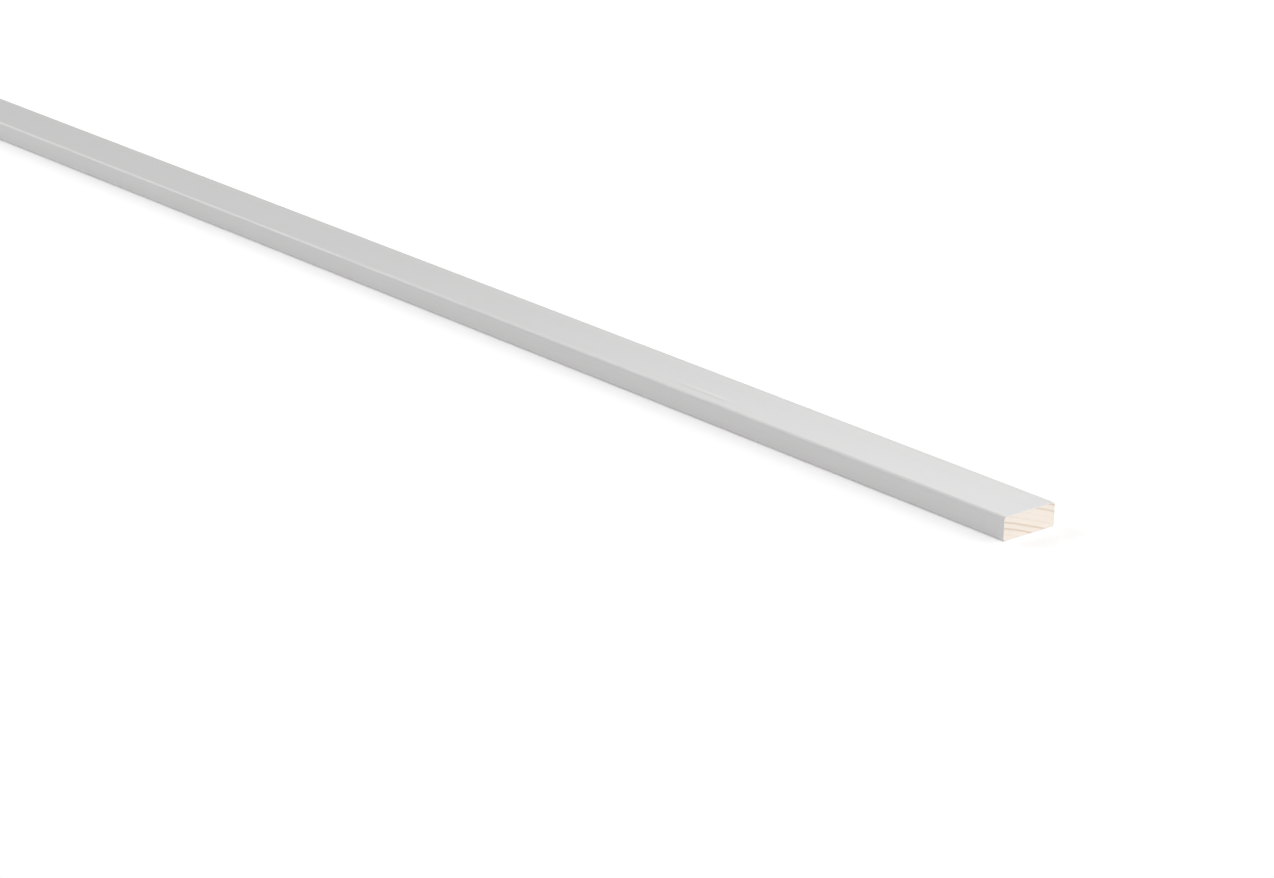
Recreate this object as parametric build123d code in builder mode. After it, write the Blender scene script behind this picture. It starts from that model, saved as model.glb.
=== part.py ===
"""A flat trim strip: planed softwood lath with eased long edges, sawn square at both ends.

The strip lies on its back face, as it would lie on a floor. X runs along its length, Y across
its width and Z through its thickness. The origin is in the middle of the back face.
"""

import os

from build123d import *

# Driving dimensions, in millimetres
LENGTH = 2400.0  # one stock length, between the two sawn ends
WIDTH = 22.0  # across the back face, from edge to edge
THICKNESS = 8.0  # from the back face to the show face
EDGE_RADIUS = 1.0  # easing of the four long edges

# The lath is planed to its section, with the long edges eased, and cut to its stock length
with BuildPart() as trim_strip:
    with BuildSketch(Plane.YZ) as lath_section:
        with Locations((0, THICKNESS / 2)):
            Rectangle(WIDTH, THICKNESS)
        fillet(lath_section.vertices(), radius=EDGE_RADIUS)
    extrude(amount=LENGTH / 2, both=True)

trim_strip.part.label = "trim_strip"

os.makedirs("parts", exist_ok=True)
export_step(trim_strip.part, "parts/trim_strip.step")
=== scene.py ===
"""A painted softwood trim strip on a white studio floor.

The strip is one lath, planed and painted on its four long faces and sawn square at both ends,
where the bare pine shows its growth rings. Lengths are in metres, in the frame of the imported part:
X runs along the strip, Y across it and Z up from the back face that it lies on.
"""

import math

import bmesh
import bpy
from mathutils import Matrix, Vector, noise


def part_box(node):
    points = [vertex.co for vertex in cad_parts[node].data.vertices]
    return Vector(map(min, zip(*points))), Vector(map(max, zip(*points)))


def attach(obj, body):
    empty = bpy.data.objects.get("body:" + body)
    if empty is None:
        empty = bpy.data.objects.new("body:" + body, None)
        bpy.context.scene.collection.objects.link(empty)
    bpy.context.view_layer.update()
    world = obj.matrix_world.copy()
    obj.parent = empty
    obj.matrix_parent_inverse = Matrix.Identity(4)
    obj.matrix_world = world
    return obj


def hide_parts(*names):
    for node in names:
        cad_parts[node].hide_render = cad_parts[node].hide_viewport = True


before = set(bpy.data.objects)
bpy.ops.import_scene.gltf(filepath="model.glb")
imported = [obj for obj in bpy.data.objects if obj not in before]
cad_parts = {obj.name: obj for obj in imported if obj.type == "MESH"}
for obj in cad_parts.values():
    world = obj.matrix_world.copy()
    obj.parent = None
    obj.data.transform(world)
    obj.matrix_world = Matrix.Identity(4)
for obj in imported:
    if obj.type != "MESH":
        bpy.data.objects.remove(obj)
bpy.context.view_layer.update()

# The lath's size, from the imported part
MM = 0.001
LOW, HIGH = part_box("trim_strip")
LENGTH, WIDTH, THICKNESS = HIGH - LOW
MIDDLE = (LOW + HIGH) / 2

# Directions along the strip, across it and up
ALONG = Vector((1, 0, 0))
ACROSS = Vector((0, 1, 0))
UP = Vector((0, 0, 1))

# The planed section: its long edges are rounded about the corners of a core
EDGE_RADIUS = 1.0 * MM
EDGE_STEPS = 8
CORE_WIDE = WIDTH / 2 - EDGE_RADIUS
CORE_HIGH = THICKNESS / 2 - EDGE_RADIUS
SHARP_EDGE = math.radians(35)  # an edge that turns by more than this is shaded sharp

# The two saw cuts: a broken rim, the cut edge of the paint, and the grain of the bare wood
END_FACING = 0.99  # a face lies flat across an end if its normal points this far along X
BROKEN_RIM = 0.08 * MM
RIM_STEPS = 2
PAINT_FILM = 0.13 * MM
FILM_RAGGED = 0.08 * MM
FILM_CHIP_SIZE = 0.5 * MM
GRAIN_PITCH = 0.2 * MM
GRAIN_SNAP = GRAIN_PITCH / 20  # a cut that passes this near a corner goes through it
EARLYWOOD_DEPTH = 0.05 * MM
SAW_MARK_DEPTH = 0.02 * MM
SAW_MARK_PITCH = 1.1 * MM
SAW_TILT = math.radians(14)

# Growth rings: wavering circles about a pith that lies far below the strip and in front of it
PITH_Y = -39.6 * MM
PITH_Z = -109.3 * MM
RING_WIDTH = 1.92 * MM
RING_EDGE = 117.24 * MM  # how far from the pith one ring starts, at the near end
RING_DRIFT = 2.5 * MM  # how far the rings move out in each metre towards the far end
RING_WAVES = ((0.16 * MM, 24.0 * MM, -5.0 * MM), (0.025 * MM, 4.7 * MM, 0.0))  # height, length, start
LATEWOOD_STARTS = (0.55, 0.94)  # the shares of a ring between which its latewood sets in
LATEWOOD_STOPS = (0.96, 1.0)  # the shares of a ring between which it ends
DRY_YEARS_EVERY = 4.2  # how many rings it is from one faint one to the next

# A planing mark on the show face, in millimetres: each fibre's middle, length and rise
MARK_FIBRES = (((1055.5, -6.9, 8.0), 40.0, -0.019), ((1056.5, -4.9, 8.0), 36.0, 0.016))
MARK_WIDTH = 1.4
MARK_CREST = 0.4  # the inner share of a fibre that has its full rise
MARK_LEAN = math.radians(0.7)

# Colours, in linear red, green and blue
# the planing mark darkens the paint towards THIN_PAINT in its groove and lightens it past THICK_PAINT on
# its ridge: painted shade and a painted highlight
THICK_PAINT = (0.82, 0.812, 0.811, 1.0)
THIN_PAINT = (0.742, 0.734, 0.733, 1.0)
EARLYWOOD = (0.901, 0.827, 0.757, 1.0)
LATEWOOD = (0.625, 0.493, 0.382, 1.0)
OPEN_PORES = (0.731, 0.622, 0.515, 1.0)

# The paint: its patterns' sizes along X, Y and Z, and how far each thins, dulls and raises it. The planing
# mark's share in the thinning is painted shade along its groove and a painted highlight along its ridge
FIBRE_SIZE = (90 * MM, 0.7 * MM, 0.7 * MM)
PEEL_SIZE = (1.8 * MM, 1.4 * MM, 1.4 * MM)
CLOUD_SIZE = (60 * MM, 12 * MM, 12 * MM)
PAINT_THINNED_AND_MARK_SHADING = {"latewood": 0.1, "fibre": 0.15, "cloud": 0.15, "mark": -40.0, "all_over": 0.22}
PAINT_DULLED = {"cloud": 0.06, "fibre": 0.04, "all_over": 0.15}
PAINT_RAISED = {"latewood": 0.006 * MM, "fibre": 0.004 * MM, "peel": 0.003 * MM, "mark": MM}
PAINT_IOR = 1.5

# The sawn pine: its patterns' sizes along X, Y and Z, and how far each wears, dulls and raises it
CELL_SIZE = (0.14 * MM, 0.14 * MM, 0.14 * MM)
STAIN_SIZE = (6 * MM, 6 * MM, 6 * MM)
SCRATCH_SIZE = (1.0, 0.25 * MM, 7 * MM)
RAY_SIZE = (1.0, 0.16 * MM, 3 * MM)
RAY_LEAN = math.radians(20)
PINE_WORN = {"cells": 0.12, "scratches": 0.12, "rays": 0.1, "stain": 0.1}
PINE_DULLED = {"latewood": -0.12, "scratches": 0.1, "all_over": 0.72}
PINE_RAISED = {"cells": 0.01 * MM, "scratches": 0.015 * MM}
PINE_SHINE = 0.3

# How finely the patterns are broken up
SOFT_DETAIL = 2.0
FINE_DETAIL = 3.0

# Sockets of a Mix node that mixes colours
MIX_SHARE = 0
MIX_FIRST = 6
MIX_SECOND = 7
MIX_RESULT = 2

# The finish map: the long faces in rows, and the two sawn ends enlarged in a band below them
MAP_NAME = "OFBake"
MAP_MARGIN = 0.005
MAP_ROWS = 6
ENDS_BAND = 0.155
ROW_LENGTH = LENGTH / MAP_ROWS
ROW_HEIGHT = (1.0 - ENDS_BAND) / MAP_ROWS
END_REACH = 1.0 * MM  # a face belongs to an end if its middle lies this near it
END_ENLARGED = 17.8
SECOND_END_FROM = 0.5

# Camera: its place from the near end's lower front corner, and how it is turned
CAMERA_FROM_CORNER = Vector((668.41, -707.10, 374.70)) * MM
CAMERA_HEADING = math.radians(139.948)
CAMERA_DOWN = math.radians(19.554)
CAMERA_ROLL = math.radians(0.820)
CAMERA_LENS = 96.87
QUARTER_TURN = math.radians(90)

# Floor, air and lights of the studio
FLOOR_SIZE = 80.0
FLOOR_GAP = 0.05 * MM
FLOOR_WHITE = (0.9, 0.9, 0.9, 1.0)
FLOOR_GLOW = 0.245
STUDIO_AIR = (0.227, 0.227, 0.227, 1.0)
STUDIO_LIGHTS = {
    # name: degrees round from +X, degrees up from the floor, degrees that it spans, and strength
    "broad_light_right": (10, 32, 100, 2.59),
    "broad_light_left": (200, 30, 30, 0.707),
    "broad_light_back": (135, 35, 30, 0.388),
}


def mesh_object(name, form, *finishes):
    """An object in the scene that has the form as its mesh, with its finishes."""
    mesh = bpy.data.meshes.new(name)
    form.to_mesh(mesh)
    form.free()
    for finish in finishes:
        mesh.materials.append(finish)
    made = bpy.data.objects.new(name, mesh)
    bpy.context.scene.collection.objects.link(made)
    return made


# Shader nodes


def add_node(tree, kind, inputs=None, **settings):
    """A shader node with its settings made, and each named input given a value or a link."""
    made = tree.nodes.new("ShaderNode" + kind)
    for name, value in settings.items():
        setattr(made, name, value)
    for name, value in (inputs or {}).items():
        if isinstance(value, bpy.types.NodeSocket):
            tree.links.new(value, made.inputs[name])
        else:
            made.inputs[name].default_value = value
    return made


def calculate(tree, operation, *values):
    """The output of a math node."""
    return add_node(tree, "Math", dict(enumerate(values)), operation=operation).outputs[0]


def add_up(tree, *shares):
    """The sum of values, each times its weight."""
    total = 0.0
    for value, weight in shares:
        total = calculate(tree, "MULTIPLY_ADD", value, weight, total)
    return total


def weigh(tree, patterns, weights):
    """The sum of the patterns that the weights name, each times its weight."""
    return add_up(tree, *((patterns[name], weight) for name, weight in weights.items()))


def ease(tree, value, start, stop):
    """0 up to start and 1 from stop on, with a smooth step between them, in either direction."""
    inputs = {"Value": value, "From Min": start, "From Max": stop}
    return add_node(tree, "MapRange", inputs, interpolation_type="SMOOTHSTEP").outputs["Result"]


def mix_colours(tree, share, first, second):
    """A colour that goes from the first to the second as the share goes from 0 to 1, and on past them."""
    inputs = {MIX_SHARE: share, MIX_FIRST: first, MIX_SECOND: second}
    return add_node(tree, "Mix", inputs, data_type="RGBA", clamp_factor=False).outputs[MIX_RESULT]


def object_place(tree):
    """Each point's place in the frame of the part."""
    return add_node(tree, "TexCoord").outputs["Object"]


def lean(tree, place, angle):
    """Places that are turned by an angle about the strip's length."""
    return add_node(tree, "Mapping", {"Vector": place, "Rotation": (angle, 0, 0)}).outputs[0]


def patches(tree, place, size, detail=SOFT_DETAIL):
    """Noise from 0 to 1 in patches of the given size along X, Y and Z."""
    scale = [1 / side for side in size]
    spread = add_node(tree, "Mapping", {"Vector": place, "Scale": scale}).outputs[0]
    return add_node(tree, "TexNoise", {"Vector": spread, "Scale": 1.0, "Detail": detail}).outputs["Fac"]


def new_material(name):
    """A new material, its node tree and its surface shader."""
    made = bpy.data.materials.new(name)
    made.use_nodes = True
    return made, made.node_tree, made.node_tree.nodes["Principled BSDF"]


def raise_surface(tree, surface, height):
    """Shades the surface as if it stood up by this height, in metres."""
    bump = add_node(tree, "Bump", {"Strength": 1.0, "Distance": 1.0, "Height": height})
    tree.links.new(bump.outputs["Normal"], surface.inputs["Normal"])


# The lath's shape


def smooth_step(start, stop, value):
    """0 up to start and 1 from stop on, with a smooth step between them."""
    share = min(max((value - start) / (stop - start), 0.0), 1.0)
    return share * share * (3.0 - 2.0 * share)


def as_share(swing):
    """A value between -1 and 1, brought between 0 and 1."""
    return 0.5 + 0.5 * swing


def latewood_at(x, y, z):
    """How deep in the latewood of its growth ring a point of the wood lies, from 0 to 1."""
    reach = math.hypot(y - PITH_Y, z - PITH_Z) + (x - HIGH.x) * RING_DRIFT - RING_EDGE
    for height, length, start in RING_WAVES:
        reach += height * math.sin(math.tau * (y - start) / length)
    year = math.floor(reach / RING_WIDTH)
    share = reach / RING_WIDTH - year
    band = smooth_step(*LATEWOOD_STARTS, share) * (1.0 - smooth_step(*LATEWOOD_STOPS, share))
    return band * as_share(math.cos(math.tau * (year + 0.5) / DRY_YEARS_EVERY))


def nearest_core(y, z):
    """The nearest place to a point of the section on the core that its edges are rounded about."""
    side = min(max(y, -CORE_WIDE), CORE_WIDE)
    level = min(max(z, MIDDLE.z - CORE_HIGH), MIDDLE.z + CORE_HIGH)
    return side, level


def way_round(y, z):
    """How far round the section a point of its outline lies from the middle of the show face."""
    side, level = nearest_core(abs(y), z)
    turn = math.atan2(abs(y) - side, z - level)
    way = side + (MIDDLE.z + CORE_HIGH - level) + EDGE_RADIUS * turn
    # on the back face the way goes on from the edge towards the middle
    if z < MIDDLE.z:
        way += 2 * (CORE_WIDE - side)
    return way


def round_edges(lath, edges, radius, steps):
    """Rounds edges to an arc."""
    bmesh.ops.bevel(lath, geom=edges, offset=radius, offset_type="OFFSET", affect="EDGES",
                    segments=steps, profile=0.5, material=-1)


def plane_lath():
    """A bar of the strip's section and length, with its four long edges eased to an arc."""
    lath = bmesh.new()
    bmesh.ops.create_cube(lath, size=1.0, matrix=Matrix.LocRotScale(MIDDLE, None, HIGH - LOW))
    long_edges = [edge for edge in lath.edges if edge.calc_length() > LENGTH / 2]
    round_edges(lath, long_edges, EDGE_RADIUS, EDGE_STEPS)
    return lath


def cut_square(lath, geometry, reach, way, snap=0.0):
    """Cuts the geometry square to a direction, this far along it, and returns all of it with the cut."""
    cut = bmesh.ops.bisect_plane(lath, geom=geometry, dist=snap, plane_co=reach * way, plane_no=way)
    return cut["geom"]


def cut_map_rows(lath):
    """Cuts the lath along its middle, and across where its finish map starts a new row."""
    whole = lath.verts[:] + lath.edges[:] + lath.faces[:]
    whole = cut_square(lath, whole, MIDDLE.y, ACROSS)
    for row in range(1, MAP_ROWS):
        whole = cut_square(lath, whole, LOW.x + row * ROW_LENGTH, ALONG)


def end_faces(lath, outward):
    """The flat faces across one end, where outward is 1 at the near end and -1 at the far one."""
    lath.normal_update()
    return [face for face in lath.faces if face.normal.x * outward > END_FACING]


def saw_end(lath, outward):
    """Makes one saw cut: its rim is broken, and its bare wood is set in a thin edge of cut paint."""
    sawn = set(end_faces(lath, outward))
    rim = [edge for edge in lath.edges if len(sawn.intersection(edge.link_faces)) == 1]
    round_edges(lath, rim, BROKEN_RIM, RIM_STEPS)
    bare = end_faces(lath, outward)
    bmesh.ops.inset_region(lath, faces=bare, thickness=PAINT_FILM, use_boundary=True, use_even_offset=True)
    return bare


def slice_grid(lath, faces):
    """Divides faces of one end into a grid that is fine enough to hold the grain."""
    grid = list(dict.fromkeys(item for face in faces for item in (face, *face.edges, *face.verts)))
    for way, start, size in ((ACROSS, LOW.y, WIDTH), (UP, LOW.z, THICKNESS)):
        for line in range(1, round(size / GRAIN_PITCH)):
            grid = cut_square(lath, grid, start + line * GRAIN_PITCH, way, GRAIN_SNAP)
    return [item for item in grid if isinstance(item, bmesh.types.BMFace)]


def cut_grain(faces, outward):
    """Sinks the soft earlywood and the saw's marks into an end, and frays the paint round it."""
    bare = set(faces)
    for vert in {vert for face in faces for vert in face.verts}:
        x, y, z = vert.co
        if bare.issuperset(vert.link_faces):
            along_cut = y * math.cos(SAW_TILT) + z * math.sin(SAW_TILT)
            saw_mark = as_share(noise.noise((x, along_cut / SAW_MARK_PITCH, 0.0)))
            depth = EARLYWOOD_DEPTH * (1.0 - latewood_at(x, y, z)) + SAW_MARK_DEPTH * saw_mark
            vert.co.x -= outward * depth
        else:
            side, level = nearest_core(y, z)
            to_edge = Vector((0.0, y - side, z - level)).normalized()
            chip = as_share(noise.noise(vert.co / FILM_CHIP_SIZE))
            vert.co += to_edge * FILM_RAGGED * chip


def sort_faces(lath):
    """Puts the faces in the order of their corners, so that the mesh is the same in each run."""
    lath.verts.index_update()
    in_order = sorted(lath.faces, key=lambda face: [vert.index for vert in face.verts])
    for place, face in enumerate(in_order):
        face.index = place
    lath.faces.sort()


def end_on_map(point, middle):
    """Where a point of a sawn end lies on the finish map. The middle of its face tells which end it is."""
    across = point.y * math.copysign(1.0, middle.x) - LOW.y
    u = across * END_ENLARGED + (SECOND_END_FROM if middle.x < 0 else 0.0)
    return u + MAP_MARGIN, (point.z - LOW.z) * END_ENLARGED + MAP_MARGIN


def row_on_map(point, middle):
    """Where a point of the long faces lies on the finish map. The middle of its face tells the row."""
    row = math.floor((middle.x - LOW.x) / ROW_LENGTH)
    u = (point.x - LOW.x) / ROW_LENGTH - row
    v = math.copysign(way_round(point.y, point.z), middle.y) / way_round(0.0, LOW.z)
    inside = 0.5 - MAP_MARGIN / ROW_HEIGHT
    return MAP_MARGIN + u * (1 - 2 * MAP_MARGIN), ENDS_BAND + ROW_HEIGHT * (row + 0.5 + v * inside)


def lay_out_map(lath):
    """Gives each face its place on the finish map."""
    places = lath.loops.layers.uv.new(MAP_NAME)
    for face in lath.faces:
        middle = face.calc_center_median()
        on_map = end_on_map if LENGTH / 2 - abs(middle.x) < END_REACH else row_on_map
        for loop in face.loops:
            loop[places].uv = on_map(loop.vert.co, middle)


def shade_smooth(lath):
    """Shades the rounded edges smoothly, and keeps the sharp ones sharp."""
    lath.normal_update()
    for face in lath.faces:
        face.smooth = True
    for edge in lath.edges:
        edge.smooth = edge.calc_face_angle(0.0) < SHARP_EDGE


def make_strip(paint, bare_pine):
    """The strip as one closed mesh: painted all over but for the bare wood of its two ends."""
    finishes = (paint, bare_pine)
    lath = plane_lath()
    cut_map_rows(lath)
    for outward in (1, -1):
        grain = slice_grid(lath, saw_end(lath, outward))
        cut_grain(grain, outward)
        for face in grain:
            face.material_index = finishes.index(bare_pine)
    sort_faces(lath)
    lay_out_map(lath)
    shade_smooth(lath)
    strip = mesh_object("planed_lath", lath, *finishes)
    shading = strip.modifiers.new("flat_faces_stay_flat", "WEIGHTED_NORMAL")
    shading.keep_sharp = True
    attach(strip, "root")
    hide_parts("trim_strip")


# Finishes


def growth_ring_group():
    """Node group: how deep in the latewood of its growth ring each point of the wood lies."""
    group = bpy.data.node_groups.new("growth_rings", "ShaderNodeTree")
    group.interface.new_socket("Place", in_out="INPUT", socket_type="NodeSocketVector")
    group.interface.new_socket("Latewood", in_out="OUTPUT", socket_type="NodeSocketFloat")
    given = group.nodes.new("NodeGroupInput")
    result = group.nodes.new("NodeGroupOutput")
    x, y, z = add_node(group, "SeparateXYZ", {0: given.outputs["Place"]}).outputs
    across = add_node(group, "CombineXYZ", {"X": calculate(group, "SUBTRACT", y, PITH_Y),
                                            "Y": calculate(group, "SUBTRACT", z, PITH_Z)})
    radius = add_node(group, "VectorMath", {0: across.outputs[0]}, operation="LENGTH").outputs["Value"]
    reach = add_up(group, (radius, 1.0), (x, RING_DRIFT), (1.0, -HIGH.x * RING_DRIFT - RING_EDGE))
    for height, length, start in RING_WAVES:
        turn = add_up(group, (y, math.tau / length), (1.0, -math.tau * start / length))
        reach = add_up(group, (reach, 1.0), (calculate(group, "SINE", turn), height))
    ring = calculate(group, "DIVIDE", reach, RING_WIDTH)
    share = calculate(group, "FRACT", ring)
    starts = ease(group, share, *LATEWOOD_STARTS)
    stops = ease(group, share, *LATEWOOD_STOPS)
    band = calculate(group, "MULTIPLY", starts, calculate(group, "SUBTRACT", 1.0, stops))
    year = calculate(group, "FLOOR", ring)
    season = calculate(group, "MULTIPLY", calculate(group, "ADD", year, 0.5), math.tau / DRY_YEARS_EVERY)
    strength = add_up(group, (calculate(group, "COSINE", season), 0.5), (1.0, 0.5))
    group.links.new(calculate(group, "MULTIPLY", band, strength), result.inputs["Latewood"])
    return group


def latewood(tree, place, rings):
    """The growth rings, set in a material."""
    return add_node(tree, "Group", {"Place": place}, node_tree=rings).outputs["Latewood"]


def planing_mark(tree, place):
    """The height of the planing mark on the show face, in millimetres."""
    height = 0.0
    for middle, length, rise in MARK_FIBRES:
        inputs = {"Vector": place, "Location": Vector(middle) * MM, "Rotation": (0, 0, MARK_LEAN),
                  "Scale": Vector((length, MARK_WIDTH, MARK_WIDTH)) * MM / 2}
        inside = add_node(tree, "Mapping", inputs, vector_type="TEXTURE").outputs[0]
        from_middle = add_node(tree, "VectorMath", {0: inside}, operation="LENGTH").outputs["Value"]
        height = calculate(tree, "MULTIPLY_ADD", ease(tree, from_middle, 1.0, MARK_CREST), rise, height)
    return height


def satin_paint(rings):
    """Satin white paint, thin enough for the grain of the planed wood to show faintly, with painted shade
    and a painted highlight along the planing mark.
    """
    paint, tree, surface = new_material("satin_white_paint")
    place = object_place(tree)
    patterns = {
        "latewood": latewood(tree, place, rings),
        "mark": planing_mark(tree, place),
        "fibre": patches(tree, place, FIBRE_SIZE, FINE_DETAIL),
        "peel": patches(tree, place, PEEL_SIZE),
        "cloud": patches(tree, place, CLOUD_SIZE),
        "all_over": 1.0,
    }
    # how thin the paint is, plus the planing mark's painted shade in its groove and painted highlight on
    # its ridge
    thin = weigh(tree, patterns, PAINT_THINNED_AND_MARK_SHADING)
    tree.links.new(mix_colours(tree, thin, THICK_PAINT, THIN_PAINT), surface.inputs["Base Color"])
    tree.links.new(weigh(tree, patterns, PAINT_DULLED), surface.inputs["Roughness"])
    raise_surface(tree, surface, weigh(tree, patterns, PAINT_RAISED))
    surface.inputs["IOR"].default_value = PAINT_IOR
    return paint


def sawn_pine(rings):
    """Bare pine end grain: pale earlywood, thin darker latewood, and the scratches of the saw."""
    pine, tree, surface = new_material("sawn_pine")
    place = object_place(tree)
    patterns = {
        "latewood": latewood(tree, place, rings),
        "cells": patches(tree, place, CELL_SIZE, FINE_DETAIL),
        "stain": patches(tree, place, STAIN_SIZE),
        "scratches": patches(tree, lean(tree, place, SAW_TILT), SCRATCH_SIZE, FINE_DETAIL),
        "rays": patches(tree, lean(tree, place, RAY_LEAN), RAY_SIZE),
        "all_over": 1.0,
    }
    wood = mix_colours(tree, patterns["latewood"], EARLYWOOD, LATEWOOD)
    worn = weigh(tree, patterns, PINE_WORN)
    tree.links.new(mix_colours(tree, worn, wood, OPEN_PORES), surface.inputs["Base Color"])
    tree.links.new(weigh(tree, patterns, PINE_DULLED), surface.inputs["Roughness"])
    raise_surface(tree, surface, weigh(tree, patterns, PINE_RAISED))
    surface.inputs["Specular IOR Level"].default_value = PINE_SHINE
    return pine


def studio_floor():
    """A matt white floor. Eyes and mirrors see it glow up to white, and it keeps the strip's shadow."""
    white, tree, surface = new_material("studio_floor")
    path = add_node(tree, "LightPath").outputs
    seen = calculate(tree, "MAXIMUM", path["Is Camera Ray"], path["Is Glossy Ray"])
    seen = calculate(tree, "MAXIMUM", seen, path["Is Transmission Ray"])
    glow = add_node(tree, "Emission", {"Strength": calculate(tree, "MULTIPLY", seen, FLOOR_GLOW)})
    matt = add_node(tree, "BsdfDiffuse", {"Color": FLOOR_WHITE})
    both = add_node(tree, "AddShader", {0: matt.outputs[0], 1: glow.outputs[0]})
    tree.links.new(both.outputs[0], tree.nodes["Material Output"].inputs["Surface"])
    tree.nodes.remove(surface)
    return white


# Studio


def lay_floor():
    """The floor, a hair's breadth below the strip."""
    plan = bmesh.new()
    level = Matrix.Translation((0, 0, LOW.z - FLOOR_GAP))
    bmesh.ops.create_grid(plan, x_segments=1, y_segments=1, size=FLOOR_SIZE / 2, matrix=level)
    floor = mesh_object("floor", plan, studio_floor())


def hang_light(name, bearing, height, span, strength):
    """A broad soft light, so far off that it lights the whole length of the strip alike."""
    lamp = bpy.data.lights.new(name, "SUN")
    lamp.angle = math.radians(span)
    lamp.energy = strength
    light = bpy.data.objects.new(name, lamp)
    turn = Matrix.Rotation(math.radians(bearing), 3, "Z") @ Matrix.Rotation(math.radians(-height), 3, "Y")
    light.rotation_mode = "QUATERNION"
    light.rotation_quaternion = (turn @ Vector((-1, 0, 0))).to_track_quat("-Z", "Y")
    bpy.context.scene.collection.objects.link(light)


def light_studio():
    """Even light from all round, and broad lights that model the strip's faces."""
    world = bpy.data.worlds.new("studio_air")
    world.use_nodes = True
    world.node_tree.nodes["Background"].inputs["Color"].default_value = STUDIO_AIR
    bpy.context.scene.world = world
    for name, light in STUDIO_LIGHTS.items():
        hang_light(name, *light)


def place_camera():
    """The camera. Unturned, it would look straight down, with +Y at the top of its picture."""
    corner = Vector((HIGH.x, LOW.y, LOW.z))
    heading = Matrix.Rotation(CAMERA_HEADING - QUARTER_TURN, 4, "Z")
    level = Matrix.Rotation(QUARTER_TURN - CAMERA_DOWN, 4, "X")
    camera = bpy.data.objects.new("camera", bpy.data.cameras.new("camera"))
    camera.data.lens = CAMERA_LENS
    turned = heading @ level @ Matrix.Rotation(CAMERA_ROLL, 4, "Z")
    camera.matrix_world = Matrix.Translation(corner + CAMERA_FROM_CORNER) @ turned
    bpy.context.scene.collection.objects.link(camera)
    bpy.context.scene.camera = camera


growth_rings = growth_ring_group()
make_strip(satin_paint(growth_rings), sawn_pine(growth_rings))
lay_floor()
light_studio()
place_camera()
bpy.context.scene.view_settings.view_transform = "Standard"
